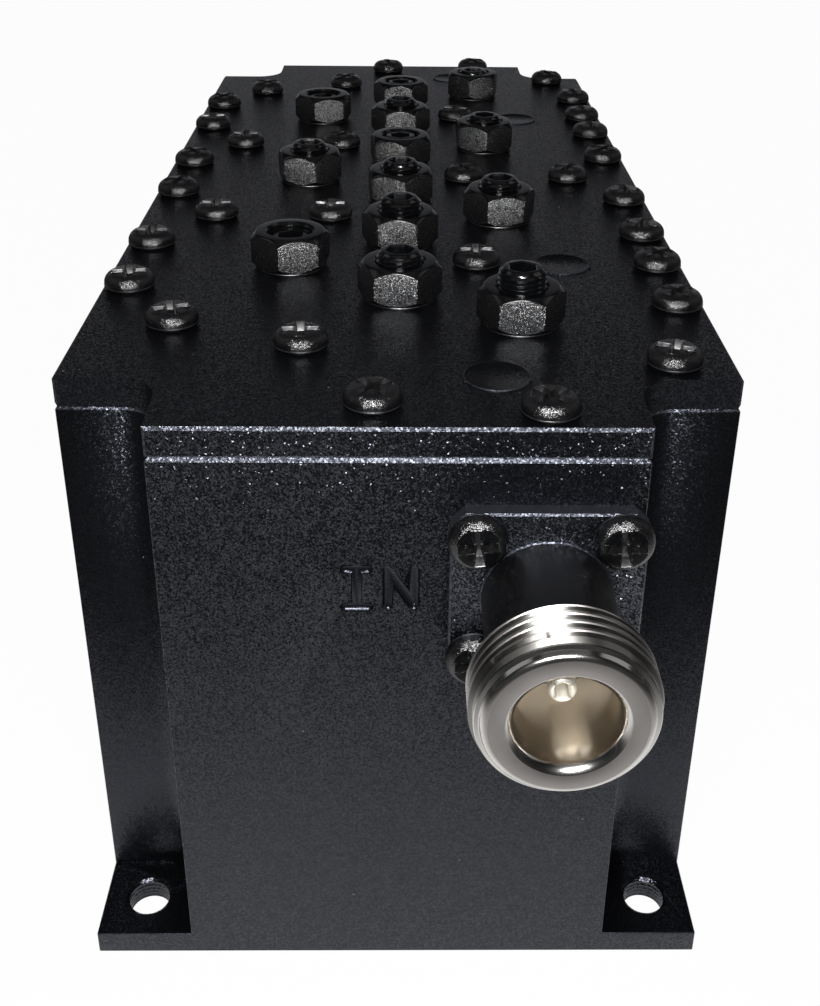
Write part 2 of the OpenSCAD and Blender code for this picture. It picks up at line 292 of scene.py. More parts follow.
def coords(tree, scale=None):
    out = node(tree, "ShaderNodeTexCoord").outputs["Object"]
    if scale:
        m = node(tree, "ShaderNodeMapping")
        m.inputs["Scale"].default_value = scale
        tree.links.new(out, m.inputs["Vector"])
        out = m.outputs["Vector"]
    return out


def noise_tex(tree, at, scale, detail=2.0, rough=0.5):
    n = node(tree, "ShaderNodeTexNoise")
    n.inputs["Scale"].default_value = scale
    n.inputs["Detail"].default_value = detail
    n.inputs["Roughness"].default_value = rough
    tree.links.new(at, n.inputs["Vector"])
    return n.outputs["Fac"]


def cell_tex(tree, at, scale):
    n = node(tree, "ShaderNodeTexVoronoi", feature="F1")
    n.inputs["Scale"].default_value = scale
    tree.links.new(at, n.inputs["Vector"])
    return n


def ramp(tree, value, *stops):
    """Maps a 0 to 1 value through (position, grey or colour) stops."""
    n = node(tree, "ShaderNodeValToRGB")
    elements = n.color_ramp.elements
    while len(elements) < len(stops):
        elements.new(0.5)
    for e, (pos, col) in zip(elements, stops):
        e.position = pos
        e.color = (col, col, col, 1) if isinstance(col, float) else (*col, 1)
    tree.links.new(value, n.inputs["Fac"])
    return n.outputs["Color"]


def maths(tree, op, a, b):
    n = node(tree, "ShaderNodeMath", operation=op)
    feed(tree, n.inputs[0], a)
    feed(tree, n.inputs[1], b)
    return n.outputs["Value"]


def vector_op(tree, op, a, b=None):
    """Vector maths; b is a vector, a number to scale by, or nothing."""
    n = node(tree, "ShaderNodeVectorMath", operation=op)
    feed(tree, n.inputs[0], a)
    if b is not None:
        feed(tree, n.inputs["Scale" if op == "SCALE" else 1], b)
    return n.outputs["Value" if op == "LENGTH" else "Vector"]


def split_vector(tree, value):
    n = node(tree, "ShaderNodeSeparateXYZ")
    tree.links.new(value, n.inputs["Vector"])
    return n


def bump(tree, shader, height, strength, distance, after=None):
    """Bump on the shader, on top of the normal given as after."""
    n = node(tree, "ShaderNodeBump")
    n.inputs["Strength"].default_value = strength
    n.inputs["Distance"].default_value = distance
    tree.links.new(height, n.inputs["Height"])
    if after:
        tree.links.new(after, n.inputs["Normal"])
    tree.links.new(n.outputs["Normal"], shader.inputs["Normal"])
    return n.outputs["Normal"]


def blend_colour(tree, share, low, high):
    n = node(tree, "ShaderNodeMix", data_type="RGBA")
    tree.links.new(share, n.inputs["Factor"])
    sockets = [i for i in n.inputs if i.type == "RGBA"]
    feed(tree, sockets[0], low)
    feed(tree, sockets[1], (*high, 1))
    return [o for o in n.outputs if o.type == "RGBA"][0]


def facet_normal(tree, at, scale, steady, rare=0.0, rise=0.0):
    """Normal tilted at random in each small cell, as the grains of a coarse paint are.
    The steady share tilts all cells, the rare share tilts a few of them much more, and
    the rise makes the grains near the top of the box that much coarser."""
    rarity = 8.0
    cells = cell_tex(tree, at, scale)
    shift = vector_op(tree, "SUBTRACT", cells.outputs["Color"], (0.5, 0.5, 0.5))
    tilt = vector_op(tree, "SCALE", shift, steady)
    if rare:
        luck = node(tree, "ShaderNodeTexWhiteNoise", noise_dimensions="3D")
        tree.links.new(cells.outputs["Position"], luck.inputs["Vector"])
        steep = maths(tree, "POWER", luck.outputs["Value"], rarity)
        steep = maths(tree, "MULTIPLY", steep, rare)
        lean = vector_op(tree, "SCALE", vector_op(tree, "NORMALIZE", shift), steep)
        tilt = vector_op(tree, "ADD", tilt, lean)
    if rise:
        height = maths(tree, "MULTIPLY", split_vector(tree, at).outputs["Z"], 1 / (LID_Z * MM))
        more = ramp(tree, height, (0.3, 0.0), (0.6, 0.12), (0.8, 0.4), (0.95, 1.0))
        grow = maths(tree, "ADD", maths(tree, "MULTIPLY", more, rise), 1.0)
        tilt = vector_op(tree, "SCALE", tilt, grow)
    total = vector_op(tree, "ADD", node(tree, "ShaderNodeNewGeometry").outputs["Normal"], tilt)
    return vector_op(tree, "NORMALIZE", total)


def specks(tree, at, scale, share, size):
    """1 on sparse round specks, 0 elsewhere."""
    cells = cell_tex(tree, at, scale)
    split = node(tree, "ShaderNodeSeparateColor")
    tree.links.new(cells.outputs["Color"], split.inputs["Color"])
    chosen = maths(tree, "LESS_THAN", split.outputs["Red"], share)
    wide = maths(tree, "MULTIPLY", split.outputs["Green"], size)
    inside = maths(tree, "LESS_THAN", cells.outputs["Distance"], wide)
    return maths(tree, "MULTIPLY", chosen, inside)


# Materials

BLACK, SOOT, DUST = (0.0014, 0.0015, 0.0018), (0.0026, 0.0027, 0.0032), (0.09, 0.09, 0.09)
COOL_TINT = (0.8, 0.84, 1.0, 1.0)
NICKEL = ((0.62, 0.6, 0.57), (0.74, 0.72, 0.69))


def paint_material(name, tilt, rough, dust=0.0, ior=1.5, rise=0.0):
    """Black paint whose grains sparkle in a direct light, with some dust on it."""
    cloud_scale, dust_scale, fine_scale, grain_scale = 60, 2200, 5200, 7200
    dust_size, bump_strength, bump_height = 0.3, 0.5, 0.00003
    mat, tree, shader = new_material(name)
    shader.inputs["IOR"].default_value = ior
    shader.inputs["Specular Tint"].default_value = COOL_TINT
    at = coords(tree)
    cloud = noise_tex(tree, at, cloud_scale, 3.0, 0.6)
    tone = ramp(tree, cloud, (0.3, BLACK), (0.75, SOOT))
    if dust:
        tone = blend_colour(tree, specks(tree, at, dust_scale, dust, dust_size), tone, DUST)
    tree.links.new(tone, shader.inputs["Base Color"])
    fine = noise_tex(tree, at, fine_scale, 3.0, 0.6)
    tree.links.new(ramp(tree, fine, (0.3, rough[0]), (0.7, rough[1])), shader.inputs["Roughness"])
    grains = facet_normal(tree, at, grain_scale, *tilt, rise)
    bump(tree, shader, fine, bump_strength, bump_height, grains)
    return mat


def gloss_black(name, rough, wave, strength, ior, colour=BLACK):
    """Blackened steel: glossy, with the uneven skin of rolled and stamped pieces."""
    wide_height, fine_height = 0.00006, 0.00002
    mat, tree, shader = new_material(name)
    shader.inputs["IOR"].default_value = ior
    at = coords(tree)
    wide = noise_tex(tree, at, wave, 3.0, 0.6)
    fine = noise_tex(tree, at, wave * 5)
    tone = ramp(tree, fine, (0.3, colour), (0.75, tuple(c * 1.9 for c in colour)))
    tree.links.new(tone, shader.inputs["Base Color"])
    gloss = ramp(tree, wide, (0.3, rough * 0.75), (0.7, rough * 1.35))
    tree.links.new(gloss, shader.inputs["Roughness"])
    first = bump(tree, shader, wide, strength, wide_height)
    bump(tree, shader, fine, strength * 0.8, fine_height, first)
    return mat


def grainy_steel(name, ior, grain_scale, tilt, rough):
    """Blackened steel with a fine grain, so that a light gives a wide soft spot on it."""
    wide_scale, fine_scale, bump_strength, bump_height = 1400, 9000, 0.6, 0.00003
    mat, tree, shader = new_material(name)
    shader.inputs["IOR"].default_value = ior
    at = coords(tree)
    wide = noise_tex(tree, at, wide_scale, 3.0, 0.65)
    tree.links.new(ramp(tree, wide, (0.3, BLACK), (0.7, SOOT)), shader.inputs["Base Color"])
    fine = noise_tex(tree, at, fine_scale, 2.0, 0.6)
    gloss = ramp(tree, fine, (0.3, rough * 0.6), (0.7, rough * 1.5))
    tree.links.new(gloss, shader.inputs["Roughness"])
    grains = facet_normal(tree, at, grain_scale, tilt)
    bump(tree, shader, fine, bump_strength, bump_height, grains)
    return mat


def metal(name, tones, rough, along=None, strength=0.1, drawn=0.0, bare=1.0):
    """Bare or plated metal, with fine turning lines along one axis or without any."""
    cloud_scale, skin_scale, line_scale, bump_height = 350, 2500, 9000, 0.00001
    dark, light = tones
    mat, tree, shader = new_material(name)
    shader.inputs["Metallic"].default_value = bare
    at = coords(tree)
    cloud = noise_tex(tree, at, cloud_scale, 4.0, 0.6)
    tree.links.new(ramp(tree, cloud, (0.25, dark), (0.75, light)), shader.inputs["Base Color"])
    gloss = ramp(tree, cloud, (0.3, rough * 0.93), (0.7, rough * 1.1))
    tree.links.new(gloss, shader.inputs["Roughness"])
    if drawn:
        shader.inputs["Anisotropic"].default_value = drawn
        axis = node(tree, "ShaderNodeCombineXYZ")
        axis.inputs[along].default_value = 1.0
        tree.links.new(axis.outputs["Vector"], shader.inputs["Tangent"])
    if along is None:
        fine = noise_tex(tree, at, skin_scale, 3.0, 0.6)
    else:
        stretch = [0.02, 0.02, 0.02]
        stretch[along] = 1.0
        fine = noise_tex(tree, coords(tree, stretch), line_scale, 3.0, 0.6)
    bump(tree, shader, fine, strength, bump_height)
    return mat


def insulator_material():
    mat, tree, shader = new_material("insulator_white")
    at = coords(tree)
    cloud = noise_tex(tree, at, 400, 3.0)
    tone = ramp(tree, cloud, (0.3, (0.8, 0.78, 0.73)), (0.7, (0.88, 0.86, 0.82)))
    tree.links.new(tone, shader.inputs["Base Color"])
    tree.links.new(ramp(tree, cloud, (0.3, 0.45), (0.7, 0.6)), shader.inputs["Roughness"])
    bump(tree, shader, noise_tex(tree, at, 3000), 0.1, 0.00001)
    return mat


# Paints: tilt of all grains and of a few, then the range of roughness
paint = paint_material("housing_paint", (0.31, 0.05), (0.2, 0.27), dust=0.0015, rise=1.8)
notch_paint = paint_material("notch_paint", (0.2, 0.0), (0.26, 0.34), dust=0.0015, rise=0.5)
edge_paint = paint_material("worn_edge_paint", (0.4, 0.1), (0.36, 0.46), ior=2.1)
flange_side = paint_material("flange_side_paint", (0.1, 0.0), (0.5, 0.6), ior=1.9)
side_paint = paint_material("smooth_side_paint", (0.08, 0.0), (0.24, 0.3))
lid_paint = paint_material("lid_paint", (0.22, 0.06), (0.26, 0.34), dust=0.012)
flange_paint = paint_material("flange_paint", (0.6, 0.6), (0.22, 0.3), dust=0.0015, ior=1.9)

# Glossy blackened steel: roughness, scale and strength of its waves, and index of refraction
nut_black = gloss_black("nut_black", 0.2, 1800, 0.2, 1.6)
head_flat = gloss_black("screw_head_flat", 0.3, 2600, 0.6, 1.22)
rod_black = gloss_black("rod_black", 0.17, 1500, 0.12, 1.8)
bead_black = gloss_black("bead_black", 0.34, 3000, 0.2, 1.8)
neck_paint = gloss_black("neck_paint", 0.38, 2600, 0.15, 1.6, (0.0014, 0.0014, 0.0018))

# Grainy blackened steel: index of refraction, scale and tilt of the grains, and roughness
nut_steel = grainy_steel("nut_flat_steel", 2.2, 32000, 0.82, 0.25)
head_steel = grainy_steel("screw_head_steel", 1.8, 30000, 0.56, 0.17)

# Metals: dark and light tone, roughness, and the axis and strength of the turning lines
nickel = metal("bright_nickel", NICKEL, 0.16, 1, 0.12)
turned_nickel = metal("turned_nickel", NICKEL, 0.45, 1, 0.3, drawn=1.0)
thread_nickel = metal("thread_nickel", ((0.66, 0.64, 0.61), (0.78, 0.76, 0.73)), 0.38, 1, 0.4,
                      drawn=1.0)
# Much darker copy of the thread nickel for the thread roots: painted shade in the grooves
shaded_thread_root = metal("shaded_thread_root", ((0.26, 0.25, 0.24), (0.42, 0.405, 0.385)), 0.38, 1, 0.5,
                    drawn=1.0)
# Darker copy of the nickel: painted shade on the ring's front face and on the small chamfers of
# the thread crests
shaded_face_nickel = metal("faced_nickel_painted_shade", ((0.5, 0.465, 0.45), (0.56, 0.525, 0.51)), 0.32)
bore_nickel = metal("bore_nickel", ((0.64, 0.59, 0.52), (0.69, 0.64, 0.57)), 0.17, 1, 0.3,
                    drawn=0.7)
contact_metal = metal("contact_metal", ((0.88, 0.85, 0.77), (0.95, 0.92, 0.86)), 0.45, bare=0.7)
silver = metal("post_silver", ((0.74, 0.74, 0.73), (0.84, 0.84, 0.83)), 0.25, 2)
steel = metal("plain_steel", ((0.5, 0.51, 0.52), (0.6, 0.61, 0.62)), 0.3)
white_insulator = insulator_material()


# Housing and lid, from the CAD's own solids with eased edges

# The worn edges take the second material of the housing and of the lid
WORN_SLOT = 1
HOUSING_TOP_BEVEL, HOUSING_SIDE_BEVEL, LID_BEVEL = 0.34, 0.24, 0.28
WORD_X, WORD_Z, WORD_HALF_W, WORD_HALF_H = -1.6, 47.1, 4.2, 3.0
SLACK = 0.1


def cad_mesh(name):
    """Copy of a CAD node in millimetres, with its flat faces joined up."""
    bm = mesh_in_mm(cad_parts[name].data)
    bmesh.ops.remove_doubles(bm, verts=bm.verts, dist=WELD)
    bmesh.ops.dissolve_limit(bm, angle_limit=math.radians(0.4), verts=bm.verts, edges=bm.edges,
                             use_dissolve_boundaries=False)
    return bm


def near(a, b, tol=0.02):
    return abs(a - b) < tol


def on_outline(x, y):
    """True on the outline of the housing above its feet."""
    x, y = abs(x), abs(y)
    inner_x, inner_y = BODY_W / 2 - NOTCH_W, BODY_L / 2 - NOTCH_L
    if near(x, BODY_W / 2) and y < inner_y + SLACK:
        return True
    if near(y, BODY_L / 2) and x < inner_x + SLACK:
        return True
    if near(x, inner_x) and y > inner_y + NOTCH_R - SLACK:
        return True
    if near(y, inner_y) and x > inner_x + NOTCH_R - SLACK:
        return True
    away = math.hypot(x - inner_x - NOTCH_R, y - inner_y - NOTCH_R)
    return near(away, NOTCH_R, 0.05) and x < inner_x + NOTCH_R and y < inner_y + NOTCH_R


def in_notch(x, y):
    return abs(x) > BODY_W / 2 - NOTCH_W - SLACK and abs(y) > BODY_L / 2 - NOTCH_L - SLACK


def on_full_outline(x, y):
    """True on the outline of the box with its feet."""
    return near(abs(x), BODY_W / 2) or near(abs(y), BODY_L / 2)


def in_word(x, y, z):
    """True in the strokes of the engraved word, below the end face."""
    below = y + BODY_L / 2
    return (abs(x - WORD_X) < WORD_HALF_W and abs(z - WORD_Z) < WORD_HALF_H
            and 0.003 < below < 0.5)


def eased_edges(bm, wanted):
    """Outer edges that turn by 25 degrees or more, with both ends where wanted is true."""
    return [e for e in bm.edges
            if len(e.link_faces) == 2 and e.calc_face_angle(0.0) >= math.radians(25)
            and e.is_convex and all(wanted(v.co) for v in e.verts)]


def capsule(start, end, radius):
    """Rod with round ends between two points."""
    start, end = Vector(start), Vector(end)
    span = (end - start).length
    steps = 6
    profile = [(radius * math.sin(t), -radius * math.cos(t))
               for t in [math.pi / 2 * k / steps for k in range(steps + 1)]]
    profile += [(r, span - z) for r, z in reversed(profile)]
    bm = turned_solid(profile, 20)
    turn = Vector((0, 0, 1)).rotation_difference(end - start).to_matrix().to_4x4()
    bmesh.ops.transform(bm, matrix=Matrix.Translation(start) @ turn, verts=bm.verts)
    return bm


def engrave_word(obj):
    """Cuts the port name with a round-nosed cutter; each stroke is (x, z) to (x, z)."""
    cutter_r, depth = 0.55, 0.36
    y = -BODY_L / 2 - (cutter_r - depth)
    strokes = [((-3.76, 45.05), (-3.76, 49.15)), ((-4.75, 49.15), (-2.77, 49.15)),
               ((-4.75, 45.05), (-2.77, 45.05)), ((-0.93, 45.15), (-0.93, 49.05)),
               ((-0.93, 49.05), (1.44, 45.15)), ((1.44, 45.15), (1.44, 49.05))]
    for (x0, z0), (x1, z1) in strokes:
        stroke = capsule((x0, y, z0), (x1, y, z1), cutter_r)
        solid_difference(obj, loose_object("stroke", stroke))


def cut_foot_holes(obj):
    """Foot holes with the crests of a thread, and a small countersink above and below."""
    crest, root, sink_r, pitch, over = FOOT_HOLE_R - 0.05, FOOT_HOLE_R + 0.14, 2.35, 0.5, 0.5
    profile = [(0, -over), (sink_r, -over), (sink_r, 0.0)]
    z = 0.25
    while z < FOOT_T - 0.55:
        profile += [(crest, z), (root, z + pitch / 2)]
        z += pitch
    mouth_r = FOOT_HOLE_R + 0.45
    profile += [(crest, FOOT_T - 0.35), (mouth_r, FOOT_T + 0.1), (mouth_r, FOOT_T + over),
                (0, FOOT_T + over)]
    for sx in (-1, 1):
        for sy in (-1, 1):
            hole = turned_solid(profile, 48)
            bmesh.ops.translate(hole, vec=(sx * (BODY_W / 2 - FOOT_HOLE_SIDE),
                                           sy * (BODY_L / 2 - FOOT_HOLE_END), 0), verts=hole.verts)
            solid_difference(obj, loose_object("foot_hole", hole))


def make_housing():
    bm = cad_mesh("housing")
    top = eased_edges(bm, lambda c: near(c.z, HOUSING_H) and on_outline(c.x, c.y))
    bevel(bm, top, HOUSING_TOP_BEVEL, mat=WORN_SLOT)
    bm.normal_update()
    sides = eased_edges(bm, lambda c: on_outline(c.x, c.y) and c.z > FOOT_T - SLACK)
    sides = [e for e in sides if min(v.co.z for v in e.verts) < HOUSING_H - 1]
    feet = eased_edges(bm, lambda c: on_full_outline(c.x, c.y) and c.z < FOOT_T + SLACK)
    lower = sides + [e for e in feet if e not in sides]
    bevel(bm, lower, HOUSING_SIDE_BEVEL, mat=WORN_SLOT)
    mats = [paint, edge_paint, side_paint, notch_paint]
    obj = link("milled_housing", bm, mats, replaces=("housing",))
    engrave_word(obj)
    cut_foot_holes(obj)
    for face in obj.data.polygons:
        x, y, z = face.center / MM
        if in_word(x, y, z):
            face.material_index = mats.index(side_paint)
        if in_notch(x, y) and z > FOOT_T and face.material_index == 0:
            face.material_index = mats.index(notch_paint)
    shade(obj.data, 30)


def make_lid():
    bm = cad_mesh("lid")
    rim = eased_edges(bm, lambda c: on_outline(c.x, c.y) and on_full_outline(c.x, c.y))
    bevel(bm, rim, LID_BEVEL, mat=WORN_SLOT)
    mats = [lid_paint, edge_paint, paint, notch_paint]
    for face in bm.faces:
        if face.normal.z < 0.99 and face.material_index == 0:
            x, y, _ = face.calc_center_median()
            face.material_index = mats.index(notch_paint if in_notch(x, y) else paint)
    obj = link("flat_lid", bm, mats, replaces=("lid",), smooth=34)
    for face in obj.data.polygons:
        if face.normal.z > 0.99:
            face.use_smooth = False


make_housing()
make_lid()


# Fasteners

CROSS_SPAN, CROSS_WIDTH = 1.75, 0.42
FINE_PITCH = 0.5


def cross_radius(angle, half_span, half_width):
    """Outline of a cross recess, seen along the screw."""
    a = abs((angle + math.pi / 4) % (math.pi / 2) - math.pi / 4)
    reach = half_span / math.cos(a)
    return min(reach, half_width / math.sin(a)) if a > 1e-6 else reach


def cross_angles():
    """Angles that meet the corners of a cross recess."""
    corner = math.degrees(math.atan(CROSS_WIDTH / CROSS_SPAN))
    folded = [0.0, 7.0, corner, 17.5, 21.0, 27.0, 35.0, 45.0]
    quarter = folded + [90 - a for a in reversed(folded[1:-1])]
    return [math.radians(q * 90 + a) for q in range(4) for a in quarter]


def pan_screw(length, turn):
    """Pan head screw with a cross recess, seated on z = 0. Its second material is that of the
    rim and the recess."""
    angles = cross_angles()
    stem_r, edge_r, head_r, flat_r, round_r = 1.45, 2.66, 2.7, 1.45, 1.23
    rim_low, rim_high, dome_z, cross_z = 0.32, 0.5, 0.62, 1.84
    stem = [(0.0, -length), (1.05, -length), (stem_r, 0.5 - length), (stem_r, -0.35), (1.5, 0.0),
            (2.35, 0.0), (2.5, 0.06), (2.64, 0.26), (edge_r, rim_low)]
    rim = [(edge_r, rim_low), (head_r, 0.37), (head_r, 0.45), (edge_r, rim_high)]
    dome = [(edge_r, rim_high)]
    for k in range(7):
        t = math.radians(11 * k)
        dome.append((flat_r + round_r * math.cos(t), dome_z + round_r * math.sin(t)))
    edge = [cross_radius(a, CROSS_SPAN, CROSS_WIDTH) for a in angles]
    mouth = [(r + 0.06, cross_z) for r in edge]
    top = turned(dome, angles) + [[(max(r + 0.1, 1.3), 1.8) for r in edge], mouth]
    recess = [mouth, [(r - 0.02, 1.78) for r in edge]]
    recess.append([(cross_radius(a, 1.28, 0.34), 1.0) for a in angles])
    recess.append([(cross_radius(a, 0.7, 0.24), 0.72) for a in angles])
    recess.append([(0.0, 0.6)] * len(angles))
    bm = bmesh.new()
    lathe(bm, stem, angles)
    lathe(bm, rim, angles, 1)
    skin(bm, top, angles)
    skin(bm, recess, angles, 1)
    clean(bm)
    bmesh.ops.rotate(bm, verts=bm.verts, matrix=Matrix.Rotation(turn, 3, "Z"))
    return bm


def lock_nut():
    """Chamfered hexagon nut with a threaded bore and a sealing bead, seated on z = 0.
    Its materials are those of the chamfers and bore, of the six flats, and of the bead."""
    angles = round_angles(72)
    face_r, mouth_r, slope, minor, major = NUT_AF / 2 - 0.15, 2.75, 0.95, 2.5, 2.7
    flat = [hex_radius(NUT_AF, a) for a in angles]
    outer = turned([(mouth_r, 0.0), (face_r, 0.0)], angles)
    outer.append([(r, (r - face_r) * slope) for r in flat])
    outer.append([(r, NUT_H - (r - face_r) * slope) for r in flat])
    outer += turned([(face_r, NUT_H), (mouth_r, NUT_H)], angles)
    bm = bmesh.new()
    skin(bm, outer, angles)
    clean(bm)
    soften(bm, 0.07, 20, 2, lambda e: max(v.co.xy.length for v in e.verts) > 3)
    for face in bm.faces:
        if abs(face.normal.z) < 0.2 and face.calc_center_median().xy.length > 3.2:
            face.material_index = 1
    bead = bmesh.new()
    lathe(bead, [(3.6, 0.0), (3.6, 0.1), (3.72, 0.16), (3.82, 0.1), (3.86, 0.0), (3.6, 0.0)],
          angles, 2)
    clean(bead)
    merge(bm, bead)
    bore = bmesh.new()
    form = [(0.0, minor), (0.15, minor), (0.5, major), (0.65, major)]
    helix(bore, FINE_PITCH, 0.0, NUT_H, form, 36,
          lambda z, r: max(r, mouth_r - z, mouth_r - (NUT_H - z)))
    clean(bore)
    bmesh.ops.reverse_faces(bore, faces=bore.faces)
    merge(bm, bore)
    return bm


def tuning_rod(length):
    """Headless tuning screw with a fine thread and a hexagon socket, its top at z = 0."""
    cols = 24
    angles = round_angles(cols)
    major, minor, end_r = 2.46, 2.22, 1.96
    bm = bmesh.new()
    form = [(0.0, major), (0.14, major), (0.5, minor), (0.64, minor)]
    helix(bm, FINE_PITCH, -length, 0.0, form, cols,
          lambda z, r: min(r, end_r - z, end_r + z + length))
    hexes = [hex_radius(SOCKET_AF, a) for a in angles]
    top = turned([(end_r, 0.0), (end_r - 0.08, 0.03)], angles)
    for wider, z in ((0.16, 0.03), (0.04, -0.05), (0.0, -0.2), (0.0, -SOCKET_DEPTH)):
        top.append([(r + wider, z) for r in hexes])
    top += turned([(0.5, -SOCKET_DEPTH - 0.2), (0.0, -SOCKET_DEPTH - 0.35)], angles)
    skin(bm, top, angles)
    lathe(bm, [(0.0, -length), (end_r, -length)], angles)
    clean(bm)
    return bm


def make_plugs(rng):
    """Round plugs pressed into the lid, with a raised rim and small burrs from the press."""
    r, rim_h, face_h = PLUG_D / 2, 0.12, 0.05
    burr_r = r + 0.1
    burr_directions = (200, 218, 338, 80, 100)
    angles = round_angles(64)
    body = [(0, -PLUG_T), (r - 0.05, -PLUG_T), (r - 0.02, -0.02), (r + 0.06, 0.0)]
    rim = [(r + 0.06, 0.0), (r + 0.06, 0.05), (r - 0.02, rim_h), (r - 0.1, rim_h)]
    face = [(r - 0.1, rim_h), (r - 0.2, face_h), (0, face_h)]
    spots = [(PLUG_X, side * (BODY_L / 2 - PLUG_END)) for side in (-1, 1)]
    spots += [(POLE_X + 6, side * 2 * POLE_PITCH) for side in (-1, 1)]
    plugs = bmesh.new()
    for x, y in spots:
        disc = bmesh.new()
        lathe(disc, body, angles)
        lathe(disc, rim, angles, 1)
        lathe(disc, face, angles)
        clean(disc)
        for direction in burr_directions:
            burr = bmesh.new()
            bmesh.ops.create_icosphere(burr, subdivisions=2, radius=1.0)
            spin = math.radians(direction + rng.uniform(-8, 8))
            size = (rng.uniform(0.12, 0.4), rng.uniform(0.08, 0.16), 0.08, 1)
            spot = Matrix.Translation((burr_r * math.cos(spin), burr_r * math.sin(spin), 0.05))
            turn = Matrix.Rotation(rng.uniform(0, math.pi), 4, "Z")
            place(disc, burr, spot @ turn @ Matrix.Diagonal(size))
            burr.free()
        place(plugs, disc, Matrix.Translation((x, y, LID_Z)))
        disc.free()
    link("lid_plugs_pressed", plugs, [lid_paint, edge_paint], replaces=("lid_plugs",),
         smooth=40)


def make_fasteners():
    rng = random.Random(7)
    heads = bmesh.new()
    for index, (x, y) in enumerate(lid_screw_places()):
        turn = rng.uniform(0, math.pi / 2)
        if index in head_turn:
            turn = math.radians(head_turn[index])
        screw = pan_screw(LID_SCREW_L, turn)
        tilt = Matrix.Rotation(rng.uniform(-0.01, 0.01), 4, "X")
        place(heads, screw, Matrix.Translation((x, y, LID_Z)) @ tilt)
        screw.free()
    link("lid_pan_screws", heads, [head_steel, bead_black], replaces=("lid_screws",),
         smooth=28)
    nut = lock_nut()
    for name, places, turns in (("resonator_lock_nuts", poles, pole_nut_turn),
                                ("coupling_lock_nuts", couplings, coupling_nut_turn)):
        nuts = bmesh.new()
        for (x, y), turn in zip(places, turns):
            spot = Matrix.Translation((x, y, LID_Z)) @ Matrix.Rotation(math.radians(turn), 4, "Z")
            place(nuts, nut, spot)
        link(name + "_dressed", nuts, [nut_black, nut_steel, bead_black], replaces=(name,),
             smooth=24)
    nut.free()
    make_plugs(rng)
    for kind, count, length in (("resonator", POLES, TUNE_L), ("coupling", COUPLINGS, COUPLING_L)):
        thread = tuning_rod(length)
        for i in range(count):
            name = "%s_tuning_screw_%d" % (kind, i + 1)
            low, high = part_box(name)
            mid = (low + high) / 2 / MM
            rod = bmesh.new()
            turn = Matrix.Rotation(rng.uniform(0, math.pi / 3), 4, "Z")
            place(rod, thread, Matrix.Translation((mid.x, mid.y, high.z / MM)) @ turn)
            link(name + "_threaded", rod, [rod_black], replaces=(name,),
                 smooth=24, body=name)
        thread.free()


make_fasteners()


# Connectors

NECK_ROOT_R, COLLAR_R, TUBE_R, FLANGE_HOLE_R = NECK_R - 0.6, NECK_R + 0.12, 4.6, 1.7
RING_PITCH, THREAD_END, NOSE_R, NOSE_END_R, MOUTH_R = 1.058, 16.7, 7.42, 6.34, 4.98
# Distance between two skins that would else lie on each other
GAP = 0.02


def at_end(side):
    """Moves a shape that points along +Z onto an end face, its own +Y up."""
    if side < 0:
        turn = Matrix(((1, 0, 0, 0), (0, 0, -1, 0), (0, 1, 0, 0), (0, 0, 0, 1)))
    else:
        turn = Matrix(((-1, 0, 0, 0), (0, 0, 1, 0), (0, 1, 0, 0), (0, 0, 0, 1)))
    return Matrix.Translation((CONN_X, side * BODY_L / 2, CONN_Z)) @ turn


def flange_plate():
    half = FLANGE_W / 2
    low = half - FLANGE_CLIP
    corners = [(-low, -half), (low, -half), (half, -low), (half, low),
               (low, half), (-low, half), (-half, low), (-half, -low)]
    bm = bmesh.new()
    bottom = [bm.verts.new((x, y, 0.0)) for x, y in corners]
    top = [bm.verts.new((x, y, FLANGE_T)) for x, y in corners]
    bm.faces.new(list(reversed(bottom)))
    bm.faces.new(top)
    for j in range(8):
        k = (j + 1) % 8
        bm.faces.new((bottom[j], bottom[k], top[k], top[j]))
    bm.normal_update()
    soften(bm, 0.18, 30, 1, lambda e: min(v.co.z for v in e.verts) > FLANGE_T - 0.01)
    return bm


def make_flange(name, spot, screw_places):
    """Flange with its holes, and the neck that stands on it."""
    flange = loose_object(name + "_flange_plate", flange_plate())
    holes = [(x, y, FLANGE_HOLE_R) for x, y in screw_places] + [(0.0, 0.0, NECK_ROOT_R)]
    for x, y, r in holes:
        hole = turned_solid([(0, -1), (r, -1), (r, 3), (0, 3)], 48)
        bmesh.ops.translate(hole, vec=(x, y, 0), verts=hole.verts)
        solid_difference(flange, loose_object("hole", hole))
    bm = taken_back(flange)
    bm.normal_update()
    mats = [flange_paint, flange_side, edge_paint, neck_paint]
    for face in bm.faces:
        if abs(face.normal.z) < 0.05:
            face.material_index = mats.index(flange_side)
        elif abs(face.normal.z) < 0.95:
            face.material_index = mats.index(edge_paint)
    angles = round_angles(96)
    foot = [(PASSAGE_R, GAP), (NECK_ROOT_R, GAP), (NECK_ROOT_R, FLANGE_T - 0.1),
            (COLLAR_R, FLANGE_T - 0.05)]
    collar = [(COLLAR_R, FLANGE_T - 0.05), (COLLAR_R, FLANGE_T + 0.12), (NECK_R, FLANGE_T + 0.25)]
    neck = [(NECK_R, FLANGE_T + 0.25), (NECK_R, RING_START), (TUBE_R, RING_START),
            (TUBE_R, SOCKET_BACK), (PASSAGE_R, SOCKET_BACK), (PASSAGE_R, GAP)]
    tube = bmesh.new()
    lathe(tube, foot, angles, mats.index(neck_paint))
    lathe(tube, collar, angles, mats.index(edge_paint))
    lathe(tube, neck, angles, mats.index(neck_paint))
    clean(tube)
    merge(bm, tube)
    bmesh.ops.transform(bm, matrix=spot, verts=bm.verts)
    link(name + "_flange_and_neck", bm, mats, replaces=(name + "_connector_body",),
         smooth=28)


